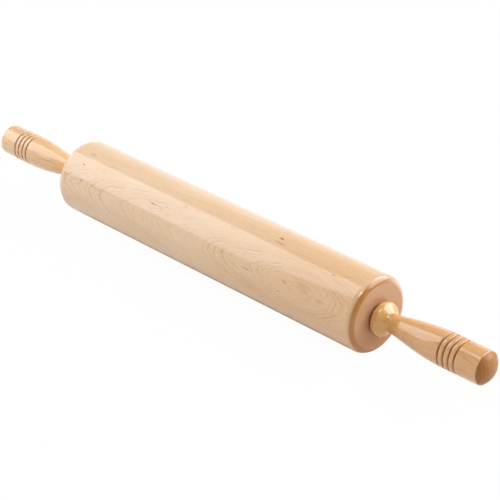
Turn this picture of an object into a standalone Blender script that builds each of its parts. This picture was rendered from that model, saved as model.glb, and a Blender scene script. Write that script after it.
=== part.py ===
"""A baker's rolling pin of clear-lacquered maple.

The turned barrel spins on two ball bearings, one in a pocket in each of its ends. The bearings sit on a
steel rod, and a turned handle is glued on each end of the rod. A sleeve on the rod keeps each handle a few
millimetres clear of the barrel.

Metres, +Z up. The axis of everything turned runs along X, and the pin lies on a surface at Z = 0, with the
origin under the middle of the barrel. Left is -X and right is +X. The rod carries the rest: what turns or
stays with a piece is parented to it, and every moving piece has its origin on the axis.
"""

import math

import bmesh
import bpy
from mathutils import Matrix, Vector

# Barrel
BARREL_LENGTH = 0.381
BARREL_RADIUS = 0.0349
SHOULDER_LENGTH = 0.0063
SHOULDER_DEPTH = 0.0053
BARREL_SIDES = 72

# Axle rod, of plain round bar with glue grooves near its ends
AXLE_RADIUS = 0.00397
AXLE_CHAMFER = 0.0007
AXLE_IN_HANDLE = 0.062
GLUE_GROOVE_COUNT = 3
GLUE_GROOVE_PITCH = 0.012
GLUE_GROOVE_WIDTH = 0.0016
GLUE_GROOVE_DEPTH = 0.0004
AXLE_SIDES = 20

# Ball bearings. The walls are measured under the middle of each raceway.
BALL_COUNT = 7
BALL_RADIUS = 0.00198
INNER_RING_WALL = 0.0011
OUTER_RING_WALL = 0.0014
RACEWAY_DEPTH = 0.0008
CAGE_RIM = 0.0005
RING_BEYOND_CAGE = 0.0008
BALL_SEGMENTS = 12
BEARING_SIDES = 28
CAGE_FACETS_PER_BALL = 4

# Handles, from the flat back of the collar outwards
HANDLE_TO_EDGE = 0.1111
DOME_HEIGHT = 0.0067
EDGE_ROUND = 0.0005
COLLAR_RADIUS = 0.0154
COLLAR_FROM_BACK = 0.0026
COLLAR_BACK_ROUND = 0.0014
NECK_FROM_BACK = 0.0142
NECK_RADIUS = 0.0086
GRIP_FROM_BACK = 0.076
GRIP_RADIUS = 0.01515
END_RADIUS = 0.01485
GROOVE_COUNT = 4
GROOVE_PITCH = 0.0056
GROOVE_WIDTH = 0.0022
GROOVE_DEPTH = 0.0011
LAST_GROOVE_TO_EDGE = 0.0221
HANDLE_SIDES = 40

# Spacer sleeves
SPACER_WALL = 0.0016

# Clearances
HANDLE_GAP = 0.0034
BEARING_RECESS = 0.001
SEAT_GAP = 0.0003
BALL_CLEARANCE = 0.00015
POCKET_CLEARANCE = 0.0002
CAGE_CLEARANCE = 0.0003
ROD_BORE_CLEARANCE = 0.001
HOLE_END_GAP = 0.0008
CUT_OVERRUN = 0.001

# Shapes of the curves, as shares of the lengths that they follow
COVE_STEP_SHARES = (0.14, 0.27, 0.38, 0.5, 0.62, 0.76)
NECK_EASE = 0.04
SWELL_STEP_SHARES = (0, 0.08, 0.18, 0.3, 0.46, 0.62, 0.8)
TAPER_STEP_SHARES = (0.35, 0.7)
DOME_STEP_SHARES = (0.32, 0.62, 0.86)
GROOVE_FLOOR_SHARE = 0.3

# How finely curves are divided, and how sharp an edge stays after shading
SHOULDER_STEPS = 5
ROUND_STEPS = 2
RACEWAY_STEPS = 6
SHARP_DEGREES = 35
MERGE_DISTANCE = 0.000001

# Sizes and places that follow from those above
AXIS = Vector((0, 0, BARREL_RADIUS))
BARREL_END = BARREL_LENGTH / 2
HANDLE_BACK = BARREL_END + HANDLE_GAP
AXLE_HALF = HANDLE_BACK + AXLE_IN_HANDLE
INNER_BORE_RADIUS = AXLE_RADIUS + SEAT_GAP
RACEWAY_ARC_RADIUS = BALL_RADIUS + BALL_CLEARANCE
BALL_CIRCLE_RADIUS = INNER_BORE_RADIUS + INNER_RING_WALL + RACEWAY_ARC_RADIUS
BEARING_OUTER_RADIUS = BALL_CIRCLE_RADIUS + RACEWAY_ARC_RADIUS + OUTER_RING_WALL
INNER_SHOULDER_RADIUS = BALL_CIRCLE_RADIUS - RACEWAY_ARC_RADIUS + RACEWAY_DEPTH
OUTER_SHOULDER_RADIUS = BALL_CIRCLE_RADIUS + RACEWAY_ARC_RADIUS - RACEWAY_DEPTH
CAGE_BORE_RADIUS = INNER_SHOULDER_RADIUS + CAGE_CLEARANCE
CAGE_OUTER_RADIUS = OUTER_SHOULDER_RADIUS - CAGE_CLEARANCE
POCKET_RADIUS = BALL_RADIUS + POCKET_CLEARANCE
CAGE_HALF = POCKET_RADIUS + CAGE_RIM
BEARING_HALF = CAGE_HALF + RING_BEYOND_CAGE
BEARING_CENTRE = BARREL_END - BEARING_RECESS - BEARING_HALF
FIRST_GROOVE = HANDLE_TO_EDGE - LAST_GROOVE_TO_EDGE - GROOVE_PITCH * (GROOVE_COUNT - 1)
ENDS = {"left": -1, "right": 1}


def clear_scene():
    for obj in list(bpy.data.objects):
        bpy.data.objects.remove(obj, do_unlink=True)


def principled(name, colour, roughness, metallic=0.0):
    material = bpy.data.materials.new(name)
    material.use_nodes = True
    shader = material.node_tree.nodes["Principled BSDF"]
    shader.inputs["Base Color"].default_value = (*colour, 1.0)
    shader.inputs["Roughness"].default_value = roughness
    shader.inputs["Metallic"].default_value = metallic
    material.diffuse_color = (*colour, 1.0)
    return material


def barrel_maple():
    return principled("barrel maple", (0.80, 0.58, 0.37), 0.3)


def handle_maple():
    return principled("handle maple", (0.78, 0.52, 0.29), 0.22)


def rod_steel():
    return principled("rod steel", (0.62, 0.61, 0.60), 0.3, 1.0)


def bearing_steel():
    return principled("bearing steel", (0.68, 0.68, 0.69), 0.16, 1.0)


def ball_steel():
    return principled("ball steel", (0.76, 0.76, 0.77), 0.08, 1.0)


def cage_brass():
    return principled("cage brass", (0.70, 0.52, 0.25), 0.35, 1.0)


def spacer_steel():
    return principled("spacer steel", (0.60, 0.60, 0.61), 0.38, 1.0)


def finished_mesh(name, work, material):
    """Makes a mesh of a bmesh, smooth where its faces meet at a shallow angle."""
    mesh = bpy.data.meshes.new(name)
    work.to_mesh(mesh)
    work.free()
    mesh.materials.append(material)
    mesh.shade_smooth()
    mesh.set_sharp_from_angle(angle=math.radians(SHARP_DEGREES))
    return mesh


def placed(name, mesh, parent, location):
    obj = bpy.data.objects.new(name, mesh)
    obj.parent = parent
    obj.location = location
    bpy.context.scene.collection.objects.link(obj)
    return obj


def turned(name, outline, sides, material, parent, location, closed=False):
    """A solid spun about X from an outline of (x, radius) points, on its parent at the location given.

    A closed outline makes a ring, and an open one starts and ends on the axis. The flats between the facets'
    corners lie on the radius, and one of them faces down.
    """
    work = bmesh.new()
    half_facet = math.pi / sides
    reach = 1 / math.cos(half_facet)
    start = Matrix.Rotation(half_facet, 3, "X")
    points = [work.verts.new(start @ Vector((x, 0, -radius * reach))) for x, radius in outline]
    following = points[1:] + points[:1] if closed else points[1:]
    edges = [work.edges.new(pair) for pair in zip(points, following)]
    bmesh.ops.spin(
        work,
        geom=points + edges,
        axis=(1, 0, 0),
        angle=2 * math.pi,
        steps=sides,
        use_merge=True,
    )
    bmesh.ops.remove_doubles(work, verts=work.verts[:], dist=MERGE_DISTANCE)
    bmesh.ops.recalc_face_normals(work, faces=work.faces[:])
    return placed(name, finished_mesh(name, work, material), parent, location)


def on_axis(x):
    """A place on the axis, as its children and the rod's own measure it."""
    return Vector((x, 0, 0))


def facing(outline, way):
    """An outline drawn for the right end, turned about for the left one."""
    return outline if way > 0 else [(-x, radius) for x, radius in reversed(outline)]


def both_ways(outline):
    """The outline with its own mirror image before it, from one end of the pin to the other."""
    return facing(outline, -1) + outline


def arc(centre, size, start, end, steps):
    """Points of an elliptic arc: 0 degrees is its outermost point, and 90 degrees its furthest along +X."""
    points = []
    for step in range(steps + 1):
        angle = math.radians(start + (end - start) * step / steps)
        points.append((centre[0] + size[0] * math.sin(angle), centre[1] + size[1] * math.cos(angle)))
    return points


def axle_rod(material):
    half = []
    for number in range(GLUE_GROOVE_COUNT):
        centre = HANDLE_BACK + GLUE_GROOVE_PITCH * (number + 1)
        half.append((centre - GLUE_GROOVE_WIDTH / 2, AXLE_RADIUS))
        half.append((centre, AXLE_RADIUS - GLUE_GROOVE_DEPTH))
        half.append((centre + GLUE_GROOVE_WIDTH / 2, AXLE_RADIUS))
    half.append((AXLE_HALF - AXLE_CHAMFER, AXLE_RADIUS))
    half.append((AXLE_HALF, AXLE_RADIUS - AXLE_CHAMFER))
    half.append((AXLE_HALF, 0))
    return turned("axle_rod", both_ways(half), AXLE_SIDES, material, None, AXIS)


def barrel(material, rod):
    """A cylinder with rounded shoulders, bored right through, with a pocket for a bearing in each end."""
    centre = (BARREL_END - SHOULDER_LENGTH, BARREL_RADIUS - SHOULDER_DEPTH)
    shoulder = arc(centre, (SHOULDER_LENGTH, SHOULDER_DEPTH), 0, 90, SHOULDER_STEPS)
    pocket_radius = BEARING_OUTER_RADIUS + SEAT_GAP
    pocket_floor = BEARING_CENTRE - BEARING_HALF - SEAT_GAP
    bore_radius = AXLE_RADIUS + ROD_BORE_CLEARANCE
    pocket = [(BARREL_END, pocket_radius), (pocket_floor, pocket_radius), (pocket_floor, bore_radius)]
    outline = both_ways(shoulder) + pocket + facing(pocket, -1)
    return turned("barrel", outline, BARREL_SIDES, material, rod, on_axis(0), closed=True)


def grip_radius(from_back):
    """The grip's radius: an eased quarter sine from the neck to the swell, then an easy taper to the end."""
    if from_back <= GRIP_FROM_BACK:
        along = (from_back - NECK_FROM_BACK) / (GRIP_FROM_BACK - NECK_FROM_BACK)
        eased = (along - NECK_EASE * (1 - math.exp(-along / NECK_EASE))) / (1 - NECK_EASE)
        return NECK_RADIUS + (GRIP_RADIUS - NECK_RADIUS) * math.sin(math.pi / 2 * eased)
    along = (from_back - GRIP_FROM_BACK) / (HANDLE_TO_EDGE - GRIP_FROM_BACK)
    return GRIP_RADIUS - (GRIP_RADIUS - END_RADIUS) * along * along * (3 - 2 * along)


def collar_radius(share):
    """The collar's radius from its widest circle, at 0, over the bead and down the cove to the neck, at 1."""
    fallen = share ** 3 * (10 - 15 * share + 6 * share * share)
    return COLLAR_RADIUS - (COLLAR_RADIUS - NECK_RADIUS) * fallen


def collar_outline():
    """From the collar's flat back, over its rounded bead and down the cove, but not as far as the neck."""
    centre = (COLLAR_FROM_BACK, COLLAR_RADIUS - COLLAR_BACK_ROUND)
    outline = arc(centre, (COLLAR_FROM_BACK, COLLAR_BACK_ROUND), -90, 0, ROUND_STEPS)
    for share in COVE_STEP_SHARES:
        x = COLLAR_FROM_BACK + (NECK_FROM_BACK - COLLAR_FROM_BACK) * share
        outline.append((x, collar_radius(share)))
    return outline


def groove_outline(centre):
    """A groove across the grip, with sloping walls and a narrow flat floor."""
    half = GROOVE_WIDTH / 2
    floor = half * GROOVE_FLOOR_SHARE
    bottom = grip_radius(centre) - GROOVE_DEPTH
    outline = [(centre - half, grip_radius(centre - half)), (centre - floor, bottom)]
    return outline + [(centre + floor, bottom), (centre + half, grip_radius(centre + half))]


def grip_outline():
    """From the neck over the swell and the grooves, but not as far as the edge of the domed end."""
    outline = []
    for share in SWELL_STEP_SHARES:
        x = NECK_FROM_BACK + (FIRST_GROOVE - NECK_FROM_BACK) * share
        outline.append((x, grip_radius(x)))
    for number in range(GROOVE_COUNT):
        outline += groove_outline(FIRST_GROOVE + GROOVE_PITCH * number)
    last = outline[-1][0]
    for share in TAPER_STEP_SHARES:
        x = last + (HANDLE_TO_EDGE - last) * share
        outline.append((x, grip_radius(x)))
    return outline


def dome_outline():
    """The eased edge and the shallow dome, which is part of a sphere, to its middle."""
    rim = END_RADIUS - EDGE_ROUND
    sphere = (rim * rim + DOME_HEIGHT * DOME_HEIGHT) / (2 * DOME_HEIGHT)
    outline = [(HANDLE_TO_EDGE - EDGE_ROUND, END_RADIUS), (HANDLE_TO_EDGE, rim)]
    for share in DOME_STEP_SHARES:
        radius = rim * (1 - share)
        rise = math.sqrt(sphere * sphere - radius * radius) - (sphere - DOME_HEIGHT)
        outline.append((HANDLE_TO_EDGE + rise, radius))
    return outline + [(HANDLE_TO_EDGE + DOME_HEIGHT, 0)]


def handle(end, way, material, rod):
    """A turned handle with a blind hole for the rod."""
    hole_radius = AXLE_RADIUS + SEAT_GAP
    hole_depth = AXLE_IN_HANDLE + HOLE_END_GAP
    outline = [(hole_depth, 0), (hole_depth, hole_radius), (0, hole_radius)]
    outline += collar_outline() + grip_outline() + dome_outline()
    place = on_axis(way * HANDLE_BACK)
    return turned("handle_" + end, facing(outline, way), HANDLE_SIDES, material, rod, place)


def spacer(end, way, material, rod):
    """A sleeve on the rod, from the inner ring to the back of the handle's collar."""
    start = BEARING_CENTRE + BEARING_HALF + SEAT_GAP
    length = HANDLE_BACK - SEAT_GAP - start
    rim = INNER_BORE_RADIUS + SPACER_WALL
    outline = [(0, rim), (length, rim), (length, INNER_BORE_RADIUS), (0, INNER_BORE_RADIUS)]
    place = on_axis(way * start)
    return turned("spacer_" + end, facing(outline, way), BEARING_SIDES, material, rod, place, closed=True)


def raceway(shoulder, way):
    """The groove that the balls run in, from one shoulder to the other. Way is 1 where it faces outwards."""
    height = abs(BALL_CIRCLE_RADIUS - shoulder)
    widest = math.degrees(math.acos(height / RACEWAY_ARC_RADIUS))
    size = (RACEWAY_ARC_RADIUS, -way * RACEWAY_ARC_RADIUS)
    return arc((0, BALL_CIRCLE_RADIUS), size, -widest, widest, RACEWAY_STEPS)


def inner_ring(end, way, material, rod):
    rim = INNER_SHOULDER_RADIUS
    outline = [(-BEARING_HALF, rim)] + raceway(rim, 1) + [(BEARING_HALF, rim)]
    outline += [(BEARING_HALF, INNER_BORE_RADIUS), (-BEARING_HALF, INNER_BORE_RADIUS)]
    place = on_axis(way * BEARING_CENTRE)
    name = "bearing_inner_ring_" + end
    return turned(name, outline, BEARING_SIDES, material, rod, place, closed=True)


def outer_ring(end, way, material, shell):
    bore = OUTER_SHOULDER_RADIUS
    outline = [(-BEARING_HALF, BEARING_OUTER_RADIUS), (BEARING_HALF, BEARING_OUTER_RADIUS)]
    outline += [(BEARING_HALF, bore)] + raceway(bore, -1)[::-1] + [(-BEARING_HALF, bore)]
    place = on_axis(way * BEARING_CENTRE)
    name = "bearing_outer_ring_" + end
    return turned(name, outline, BEARING_SIDES, material, shell, place, closed=True)


def ball_angles():
    return [2 * math.pi * number / BALL_COUNT for number in range(BALL_COUNT)]


def pocket_cutter(end, way, rod):
    """Round pegs that stand out from the axis, one through each ball's place."""
    work = bmesh.new()
    middle = (CAGE_OUTER_RADIUS + CAGE_BORE_RADIUS) / 2
    length = CAGE_OUTER_RADIUS - CAGE_BORE_RADIUS + 2 * CUT_OVERRUN
    for angle in ball_angles():
        turn = Matrix.Rotation(-angle, 4, "X") @ Matrix.Translation((0, 0, middle))
        bmesh.ops.create_cone(
            work,
            cap_ends=True,
            segments=BALL_SEGMENTS,
            radius1=POCKET_RADIUS,
            radius2=POCKET_RADIUS,
            depth=length,
            matrix=turn,
        )
    mesh = bpy.data.meshes.new("pocket_cutter_" + end)
    work.to_mesh(mesh)
    work.free()
    cutter = placed(mesh.name, mesh, rod, on_axis(way * BEARING_CENTRE))
    cutter.hide_render = True
    cutter.display_type = "WIRE"
    return cutter


def ball_cage(end, way, material, rod):
    """A ring between the two raceways, with a round pocket for each ball."""
    outline = [(-CAGE_HALF, CAGE_OUTER_RADIUS), (CAGE_HALF, CAGE_OUTER_RADIUS)]
    outline += [(CAGE_HALF, CAGE_BORE_RADIUS), (-CAGE_HALF, CAGE_BORE_RADIUS)]
    facets = BALL_COUNT * CAGE_FACETS_PER_BALL
    place = on_axis(way * BEARING_CENTRE)
    cage = turned("ball_cage_" + end, outline, facets, material, rod, place, closed=True)
    pockets = cage.modifiers.new("pockets", "BOOLEAN")
    pockets.operation = "DIFFERENCE"
    pockets.solver = "EXACT"
    pockets.object = pocket_cutter(end, way, rod)
    return cage


def ball_mesh(material):
    """One ball, for all of them to share. The poles of its mesh lie along the pin."""
    work = bmesh.new()
    bmesh.ops.create_uvsphere(
        work,
        u_segments=BALL_SEGMENTS,
        v_segments=BALL_SEGMENTS // 2,
        radius=BALL_RADIUS,
        matrix=Matrix.Rotation(math.pi / 2, 4, "Y"),
    )
    return finished_mesh("ball", work, material)


def balls(end, mesh, cage):
    for number, angle in enumerate(ball_angles(), start=1):
        place = Vector((0, math.sin(angle), math.cos(angle))) * BALL_CIRCLE_RADIUS
        placed(f"ball_{end}_{number}", mesh, cage, place)


def build():
    clear_scene()
    rod = axle_rod(rod_steel())
    shell = barrel(barrel_maple(), rod)
    maple = handle_maple()
    ring_finish = bearing_steel()
    ball = ball_mesh(ball_steel())
    cage_finish = cage_brass()
    spacer_finish = spacer_steel()
    for end, way in ENDS.items():
        handle(end, way, maple, rod)
        spacer(end, way, spacer_finish, rod)
        inner_ring(end, way, ring_finish, rod)
        outer_ring(end, way, ring_finish, shell)
        cage = ball_cage(end, way, cage_finish, rod)
        balls(end, ball, cage)


build()
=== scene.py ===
"""The looks of a baker's rolling pin of clear-lacquered maple, lying on a white table.

Every piece is turned afresh about the frame's axis, finer than the solids of the frame and in the same
places, and each has a finish of its own: lacquered maple on the barrel and the handles, drawn steel on the
rod, ground and polished steel in the bearings, brass on the ball cages and turned steel on the spacers.

Metres, +Z up. The axis runs along X. A handle's outline is measured outwards from the back of its collar,
and each outline is a list of (distance along the axis, radius, share of a groove's depth).
"""

import math

import bpy
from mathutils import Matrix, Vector

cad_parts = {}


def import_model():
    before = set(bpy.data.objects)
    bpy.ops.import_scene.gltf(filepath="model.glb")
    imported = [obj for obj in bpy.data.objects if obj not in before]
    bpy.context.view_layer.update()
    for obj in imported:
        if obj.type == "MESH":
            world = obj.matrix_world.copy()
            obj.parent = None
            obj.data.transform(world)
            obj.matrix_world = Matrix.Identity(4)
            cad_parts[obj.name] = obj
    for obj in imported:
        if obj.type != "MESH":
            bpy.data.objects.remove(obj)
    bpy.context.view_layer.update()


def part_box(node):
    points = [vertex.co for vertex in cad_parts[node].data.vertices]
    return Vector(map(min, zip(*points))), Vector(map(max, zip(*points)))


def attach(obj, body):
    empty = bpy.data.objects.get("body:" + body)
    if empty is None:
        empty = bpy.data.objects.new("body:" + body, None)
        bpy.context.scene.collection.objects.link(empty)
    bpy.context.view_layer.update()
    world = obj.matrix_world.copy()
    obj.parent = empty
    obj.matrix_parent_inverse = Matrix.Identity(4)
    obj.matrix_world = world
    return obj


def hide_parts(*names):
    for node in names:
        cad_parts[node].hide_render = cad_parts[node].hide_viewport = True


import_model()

# Sizes and places that the frame gives
BARREL_LOW, BARREL_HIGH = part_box("barrel")
BARREL_END = BARREL_HIGH.x
BARREL_RADIUS = (BARREL_HIGH.z - BARREL_LOW.z) / 2
AXIS_HEIGHT = (BARREL_HIGH.z + BARREL_LOW.z) / 2
HANDLE_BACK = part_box("handle_right")[0].x
ROD_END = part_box("axle_rod")[1].x
RING_LOW, RING_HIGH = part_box("bearing_outer_ring_right")
BEARING_CENTRE = (RING_LOW.x + RING_HIGH.x) / 2
BEARING_HALF = (RING_HIGH.x - RING_LOW.x) / 2
BEARING_OUTER_RADIUS = (RING_HIGH.z - RING_LOW.z) / 2
SPACER_LOW, SPACER_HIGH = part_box("spacer_right")
SPACER_RADIUS = (SPACER_HIGH.z - SPACER_LOW.z) / 2
CAGE_HALF = (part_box("ball_cage_right")[1].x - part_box("ball_cage_right")[0].x) / 2

# Barrel
SHOULDER_LENGTH = 0.0063
SHOULDER_DEPTH = 0.0053
POCKET_RADIUS = 0.01133
POCKET_FLOOR = 0.18224
BORE_RADIUS = 0.00497
POCKET_CHAMFER = 0.0003

# Handles, from the flat back of the collar outwards
HANDLE_TO_EDGE = 0.1111
DOME_HEIGHT = 0.0067
EDGE_ROUND = 0.0005
EDGE_SWEEP = 78
COLLAR_RADIUS = 0.0154
COLLAR_FROM_BACK = 0.0026
COLLAR_BACK_ROUND = 0.0014
NECK_FROM_BACK = 0.0142
NECK_RADIUS = 0.0086
NECK_EASE = 0.04
GRIP_FROM_BACK = 0.076
GRIP_RADIUS = 0.01515
END_RADIUS = 0.01485
GROOVE_COUNT = 4
GROOVE_PITCH = 0.0056
GROOVE_WIDTH = 0.0024
GROOVE_DEPTH = 0.0011
GROOVE_SHARPNESS = 1.3
LAND_CROWN = 0.00024
LAST_GROOVE_TO_EDGE = 0.0221
HOLE_RADIUS = 0.00427
HOLE_DEPTH = 0.0628
HOLE_CHAMFER = 0.0003
COLLAR_STEPS = 34

# Axle rod
ROD_RADIUS = 0.00397
ROD_CHAMFER = 0.0007
GLUE_GROOVE_COUNT = 3
GLUE_GROOVE_PITCH = 0.012
GLUE_GROOVE_WIDTH = 0.0016
GLUE_GROOVE_DEPTH = 0.0004

# Bearings
BALL_COUNT = 7
BALL_RADIUS = 0.00198
BALL_CIRCLE_RADIUS = 0.0075
RACEWAY_ARC_RADIUS = 0.00213
INNER_BORE_RADIUS = 0.00427
INNER_SHOULDER_RADIUS = 0.00617
OUTER_SHOULDER_RADIUS = 0.00883
CAGE_BORE_RADIUS = 0.00647
CAGE_OUTER_RADIUS = 0.00853
BALL_POCKET_RADIUS = 0.00218
RING_CHAMFER = 0.00025
CAGE_CHAMFER = 0.00015
SPACER_CHAMFER = 0.0002
CUT_OVERRUN = 0.001

# How finely pieces are turned
BARREL_SIDES = 256
HANDLE_SIDES = 192
STEEL_SIDES = 96
BALL_SEGMENTS = 48
TURNING_RADIUS = 0.012
SHARP_ANGLE = math.radians(32)
MERGE_DISTANCE = 0.000001
GRIP_STEP = 0.00045
BARREL_STATIONS = (0.0, 0.2, 0.4, 0.6, 0.8, 0.93)
FACE_STATIONS = (0.98, 0.8, 0.6)
BORE_STATIONS = (0.75, 0.5, 0.25)
GROOVE_STEPS = 14
DOME_STEPS = 26
SHOULDER_STEPS = 28
RACEWAY_STEPS = 24
ROUND_STEPS = 12
EDGE_STEPS = 6
GLUE_GROOVE_STEPS = 8

# The camera, and what it looks at
CAMERA_PLACE = Vector((1.0266, -0.9619, 0.7709))
CAMERA_AIM = Vector((0.0211, 0.0158, 0.02685))
CAMERA_LENS = 127.2
CAMERA_SENSOR = 36.0
CAMERA_NEAR = 0.05
CAMERA_FAR = 60

ENDS = {"left": -1, "right": 1}


# Shader and geometry node helpers

def fill(tree, node, inputs):
    """Sets a node's inputs, by name or number, to values or links them to other sockets."""
    for key, value in inputs.items():
        socket = node.inputs[key]
        if isinstance(value, bpy.types.NodeSocket):
            tree.links.new(value, socket)
        else:
            socket.default_value = value
    return node


def add(tree, kind, inputs=None, **settings):
    """Adds a node with its settings, and returns it."""
    node = tree.nodes.new(kind)
    for key, value in settings.items():
        setattr(node, key, value)
    return fill(tree, node, inputs or {})


def result(tree, kind, inputs, **settings):
    """What a new node gives first."""
    return add(tree, kind, inputs, **settings).outputs[0]


def calc(tree, operation, *values):
    """The result of a Math node."""
    return result(tree, "ShaderNodeMath", dict(enumerate(values)), operation=operation)


def times(tree, first, second):
    """A product."""
    return calc(tree, "MULTIPLY", first, second)


def vector_calc(tree, operation, *values):
    """The result of a Vector Math node, which is a single number for a length or a dot product."""
    node = add(tree, "ShaderNodeVectorMath", dict(enumerate(values)), operation=operation)
    return node.outputs["Value" if operation in ("LENGTH", "DOT_PRODUCT") else "Vector"]


def ease(tree, value, low, high, to_low=0.0, to_high=1.0):
    """A value eased from one level to another as it goes from low to high."""
    inputs = {"Value": value, "From Min": low, "From Max": high, "To Min": to_low, "To Max": to_high}
    return result(tree, "ShaderNodeMapRange", inputs, interpolation_type="SMOOTHSTEP")


def blend(tree, share, first, second, how="MIX"):
    """Two colours mixed."""
    inputs = {0: share, 6: first, 7: second}
    node = add(tree, "ShaderNodeMix", inputs, data_type="RGBA", blend_type=how)
    return node.outputs[2]


# The cloudy patterns: how many waves each has in a metre, along the pin and both ways across it, how often
# finer waves are added and how strong these are
PATTERNS = {
    "slow drift": ((16, 45, 45), 1.5, 0.5),
    "quick drift": ((60, 260, 260), 2.0, 0.55),
    "ring patches": ((34, 110, 110), 2.0, 0.5),
    "fibre streaks": ((13, 620, 620), 3.0, 0.6),
    "pores": ((210, 1900, 1900), 1.0, 0.5),
    "flecks": ((120, 620, 620), 1.0, 0.4),
    "clouds": ((19, 48, 48), 3.0, 0.55),
    "ragged edge": ((420, 900, 900), 2.0, 0.5),
    "end grain rays": ((20, 900, 900), 2.0, 0.6),
    "dome stripes": ((40, 900, 50), 2.0, 0.5),
    "metal patches": ((260, 260, 260), 3.0, 0.5),
    "rod scratches": ((22, 5200, 5200), 3.0, 0.6),
    "rod patches": ((60, 200, 200), 3.0, 0.5),
}


def noise(tree, place, pattern):
    """A cloudy pattern from 0 to 1."""
    waves, detail, roughness = PATTERNS[pattern]
    stretched = vector_calc(tree, "MULTIPLY", place, waves)
    inputs = {"Vector": stretched, "Scale": 1.0, "Detail": detail, "Roughness": roughness}
    return result(tree, "ShaderNodeTexNoise", inputs)


def noise_along(tree, place, scale, detail):
    """A pattern from 0 to 1 along a line."""
    inputs = {"W": place, "Scale": scale, "Detail": detail}
    return result(tree, "ShaderNodeTexNoise", inputs, noise_dimensions="1D")


def shader_group(name, values, outputs):
    """An empty shader node group that takes a Position and other values, given here with what each starts as,
    and that gives numbers. Returned with what its input node gives."""
    tree = bpy.data.node_groups.new(name, "ShaderNodeTree")
    tree.interface.new_socket("Position", in_out="INPUT", socket_type="NodeSocketVector")
    for socket, value in values.items():
        kind = "NodeSocketVector" if isinstance(value, tuple) else "NodeSocketFloat"
        tree.interface.new_socket(socket, in_out="INPUT", socket_type=kind).default_value = value
    for socket in outputs:
        tree.interface.new_socket(socket, in_out="OUTPUT", socket_type="NodeSocketFloat")
    return tree, add(tree, "NodeGroupInput").outputs


def use(tree, group, inputs):
    """Places a node group in a tree, and returns what it gives."""
    node = tree.nodes.new("ShaderNodeGroup")
    node.node_tree = group
    return fill(tree, node, inputs).outputs


# Shared patterns

# How gently the rings' lean turns back, in square metres, how much of their drift is quick, how uneven their
# widths are, and how late in a ring its dark line comes and how weak it gets. Then how ragged a mineral
# streak's sides are and how it tapers
TURN_SOFTNESS = 0.00016
QUICK_SHARE = 0.36
BEAT_SCALE = 0.37
BEAT_SHARE = 2.2
LINE_SHARPNESS = 5.0
LINE_END = 0.93
WEAKEST_LINE = 0.2
PALEST_PATCH = 0.35
RAGGEDNESS = 0.0006
TAPER_POWER = 1.4

# Between which levels of its pattern each mark sets in
PATCH_LEVELS = (0.32, 0.68)
PORE_LEVELS = (0.6, 0.78)
FLECK_LEVELS = (0.66, 0.8)
CLOUD_LEVELS = (0.3, 0.7)
STREAK_LEVELS = (0.3, 0.75)
DULL_LEVELS = (0.35, 0.75)
TAPER_LEVELS = (0.15, 1.15)


def axis_place_group():
    """Splits a place into how far along the axis it is, its place across it and its distance from it."""
    tree, given = shader_group("place about the axis", {}, ["Along", "Radius"])
    tree.interface.new_socket("Across", in_out="OUTPUT", socket_type="NodeSocketVector")
    place = given["Position"]
    centred = vector_calc(tree, "SUBTRACT", place, (0, 0, AXIS_HEIGHT))
    across = vector_calc(tree, "MULTIPLY", centred, (0, 1, 1))
    along = add(tree, "ShaderNodeSeparateXYZ", {0: place}).outputs["X"]
    radius = vector_calc(tree, "LENGTH", across)
    add(tree, "NodeGroupOutput", {"Along": along, "Across": across, "Radius": radius})
    return tree


AXIS_PLACE = axis_place_group()


def about_axis(tree, place):
    """How far along the axis a place is, where it is across it and how far from it."""
    return use(tree, AXIS_PLACE, {"Position": place})


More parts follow.
